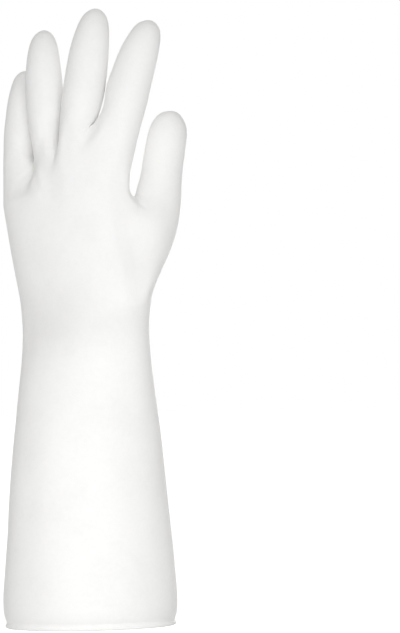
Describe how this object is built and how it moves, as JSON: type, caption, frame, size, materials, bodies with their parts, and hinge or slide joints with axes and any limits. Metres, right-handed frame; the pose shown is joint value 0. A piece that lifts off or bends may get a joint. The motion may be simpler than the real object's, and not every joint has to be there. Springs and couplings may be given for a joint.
{
  "type": "rubber cleaning glove",
  "caption": "Long household cleaning glove for the left hand: a hollow rubber film with a flared sleeve, fingers and a thumb, open at its rolled rim.",
  "frame": {"origin": "centre of the sleeve's open mouth, at the hem, where the wearer's forearm goes in", "axes": "+Z from the mouth up to the fingertips, the back of the hand facing -Y, the thumb on the +X side"},
  "size_m": [0.1191, 0.088, 0.38],
  "materials": {
    "rubber": "smooth matte, off-white"
  },
  "bodies": {
    "root": {"glove_film": "rubber"}
  },
  "joints": []
}
